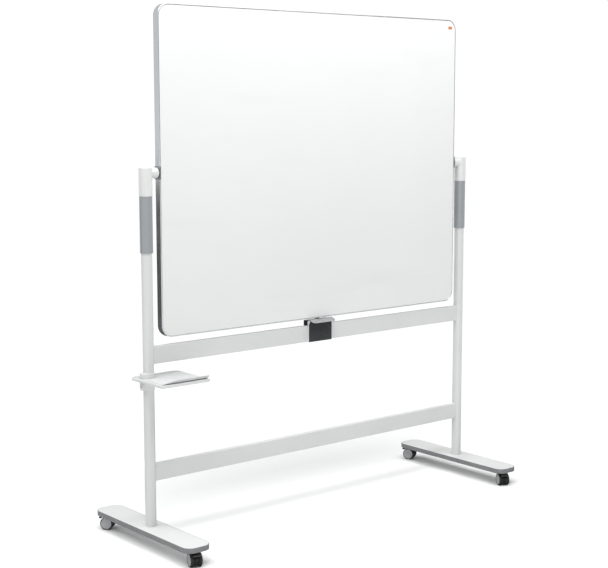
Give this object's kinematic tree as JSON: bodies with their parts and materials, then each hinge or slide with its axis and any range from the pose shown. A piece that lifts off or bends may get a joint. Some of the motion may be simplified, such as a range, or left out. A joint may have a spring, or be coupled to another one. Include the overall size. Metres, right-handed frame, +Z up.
{
  "type": "rolling whiteboard",
  "caption": "Double-sided whiteboard that turns over between two posts on castored feet, with a bottom latch and a sliding pen tray.",
  "frame": {"origin": "on the floor, midway between the two posts and under the board's turning axis", "axes": "+X to the right along the board's turning axis, -Y is the front, +Z up"},
  "size_m": [1.726, 0.643, 1.975],
  "materials": {
    "honeycomb": "resin-stiffened paper honeycomb",
    "writing_surface": "gloss white enamelled steel",
    "rim_metal": "satin anodised",
    "black_plastic": "fine-grained moulding",
    "tag_colour": "plain orange",
    "bright_steel": "zinc-plated",
    "white_plastic": "satin white moulding",
    "white_frame": "powder-coated white",
    "grey_sleeve": "satin mid grey",
    "cast_alloy": "as cast",
    "foot_board": "white laminate on board",
    "edge_band": "grey edging",
    "black_gloss": "polished black",
    "satin_alloy": "satin silver",
    "tray_sheet": "pale grey moulding",
    "tyre_black": "hard rubber tread",
    "hub_grey": "light grey moulding"
  },
  "bodies": {
    "base": {"pivot_bushes": "black_plastic", "pivot_head_left": "white_plastic", "pivot_head_right": "white_plastic", "post_left": "white_frame", "post_right": "white_frame", "post_inserts": "bright_steel", "grip_sleeves": "grey_sleeve", "upper_beam": "white_frame", "lower_beam": "white_frame", "beam_spigots": "cast_alloy", "frame_screws": "bright_steel", "foot_deck_left": "foot_board", "foot_deck_right": "foot_board", "foot_edge_bands": "edge_band", "castor_sockets": "bright_steel", "castor_stems": "bright_steel", "latch_saddle": "white_plastic", "latch_cover": "black_gloss", "latch_housing": "black_plastic", "latch_pin": "bright_steel"},
    "board": {"board_core": "honeycomb", "writing_sheet_front": "writing_surface", "writing_sheet_back": "writing_surface", "board_rim": "rim_metal", "latch_keepers": "black_plastic", "corner_tag": "tag_colour", "pivot_brackets": "bright_steel"},
    "latch_lever": {"latch_lever": "satin_alloy"},
    "latch_bolt": {"latch_bolt": "bright_steel"},
    "tray": {"tray_base": "white_plastic", "tray_insert": "tray_sheet", "tray_screw": "bright_steel"},
    "castor_front_left": {"castor_housing_front_left": "black_plastic", "castor_axle_front_left": "bright_steel"},
    "wheel_a_front_left": {"castor_tyre_a_front_left": "tyre_black", "castor_hub_a_front_left": "hub_grey"},
    "wheel_b_front_left": {"castor_tyre_b_front_left": "tyre_black", "castor_hub_b_front_left": "hub_grey"},
    "pedal_front_left": {"castor_pedal_front_left": "black_plastic"},
    "castor_front_right": {"castor_housing_front_right": "black_plastic", "castor_axle_front_right": "bright_steel"},
    "wheel_a_front_right": {"castor_tyre_a_front_right": "tyre_black", "castor_hub_a_front_right": "hub_grey"},
    "wheel_b_front_right": {"castor_tyre_b_front_right": "tyre_black", "castor_hub_b_front_right": "hub_grey"},
    "pedal_front_right": {"castor_pedal_front_right": "black_plastic"},
    "castor_back_left": {"castor_housing_back_left": "black_plastic", "castor_axle_back_left": "bright_steel"},
    "wheel_a_back_left": {"castor_tyre_a_back_left": "tyre_black", "castor_hub_a_back_left": "hub_grey"},
    "wheel_b_back_left": {"castor_tyre_b_back_left": "tyre_black", "castor_hub_b_back_left": "hub_grey"},
    "pedal_back_left": {"castor_pedal_back_left": "black_plastic"},
    "castor_back_right": {"castor_housing_back_right": "black_plastic", "castor_axle_back_right": "bright_steel"},
    "wheel_a_back_right": {"castor_tyre_a_back_right": "tyre_black", "castor_hub_a_back_right": "hub_grey"},
    "wheel_b_back_right": {"castor_tyre_b_back_right": "tyre_black", "castor_hub_b_back_right": "hub_grey"},
    "pedal_back_right": {"castor_pedal_back_right": "black_plastic"}
  },
  "joints": [
    {"name": "board_turn", "type": "hinge", "parent": "base", "child": "board", "pos_m": [0, 0, 1.375], "axis": [1, 0, 0], "continuous": true},
    {"name": "latch_lever_turn", "type": "hinge", "parent": "base", "child": "latch_lever", "pos_m": [0, -0.017, 0.764], "axis": [1, 0, 0], "range_deg": [0, 18]},
    {"name": "latch_bolt_slide", "type": "slide", "parent": "base", "child": "latch_bolt", "axis": [0, 0, 1], "range_m": [0, 0.0054]},
    {"name": "tray_slide", "type": "slide", "parent": "base", "child": "tray", "axis": [0, 0, 1], "range_m": [-0.27, 0.02]},
    {"name": "swivel_front_left", "type": "hinge", "parent": "base", "child": "castor_front_left", "pos_m": [-0.808, -0.267, 0.045], "axis": [0, 0, 1], "continuous": true},
    {"name": "spin_a_front_left", "type": "hinge", "parent": "castor_front_left", "child": "wheel_a_front_left", "pos_m": [-0.81385, -0.28613, 0.025], "axis": [0.9563, -0.2924, 0], "continuous": true},
    {"name": "spin_b_front_left", "type": "hinge", "parent": "castor_front_left", "child": "wheel_b_front_left", "pos_m": [-0.81385, -0.28613, 0.025], "axis": [0.9563, -0.2924, 0], "continuous": true},
    {"name": "brake_front_left", "type": "hinge", "parent": "castor_front_left", "child": "pedal_front_left", "pos_m": [-0.81677, -0.29569, 0.042], "axis": [0.9563, -0.2924, 0], "range_deg": [0, 14]},
    {"name": "swivel_front_right", "type": "hinge", "parent": "base", "child": "castor_front_right", "pos_m": [0.808, -0.267, 0.045], "axis": [0, 0, 1], "continuous": true},
    {"name": "spin_a_front_right", "type": "hinge", "parent": "castor_front_right", "child": "wheel_a_front_right", "pos_m": [0.79892, -0.28482, 0.025], "axis": [0.891, -0.454, 0], "continuous": true},
    {"name": "spin_b_front_right", "type": "hinge", "parent": "castor_front_right", "child": "wheel_b_front_right", "pos_m": [0.79892, -0.28482, 0.025], "axis": [0.891, -0.454, 0], "continuous": true},
    {"name": "brake_front_right", "type": "hinge", "parent": "castor_front_right", "child": "pedal_front_right", "pos_m": [0.79438, -0.29373, 0.042], "axis": [0.891, -0.454, 0], "range_deg": [0, 14]},
    {"name": "swivel_back_left", "type": "hinge", "parent": "base", "child": "castor_back_left", "pos_m": [-0.808, 0.267, 0.045], "axis": [0, 0, 1], "continuous": true},
    {"name": "spin_a_back_left", "type": "hinge", "parent": "castor_back_left", "child": "wheel_a_back_left", "pos_m": [-0.82004, 0.28297, 0.025], "axis": [-0.7986, -0.6018, 0], "continuous": true},
    {"name": "spin_b_back_left", "type": "hinge", "parent": "castor_back_left", "child": "wheel_b_back_left", "pos_m": [-0.82004, 0.28297, 0.025], "axis": [-0.7986, -0.6018, 0], "continuous": true},
    {"name": "brake_back_left", "type": "hinge", "parent": "castor_back_left", "child": "pedal_back_left", "pos_m": [-0.82605, 0.29096, 0.042], "axis": [-0.7986, -0.6018, 0], "range_deg": [0, 14]},
    {"name": "swivel_back_right", "type": "hinge", "parent": "base", "child": "castor_back_right", "pos_m": [0.808, 0.267, 0.045], "axis": [0, 0, 1], "continuous": true},
    {"name": "spin_a_back_right", "type": "hinge", "parent": "castor_back_right", "child": "wheel_a_back_right", "pos_m": [0.80019, 0.28541, 0.025], "axis": [-0.9205, -0.3907, 0], "continuous": true},
    {"name": "spin_b_back_right", "type": "hinge", "parent": "castor_back_right", "child": "wheel_b_back_right", "pos_m": [0.80019, 0.28541, 0.025], "axis": [-0.9205, -0.3907, 0], "continuous": true},
    {"name": "brake_back_right", "type": "hinge", "parent": "castor_back_right", "child": "pedal_back_right", "pos_m": [0.79628, 0.29462, 0.042], "axis": [-0.9205, -0.3907, 0], "range_deg": [0, 14]}
  ],
  "couplings": [
    {"joint": "latch_bolt_slide", "follows": "latch_lever_turn", "m_per_rad": 0.017}
  ]
}
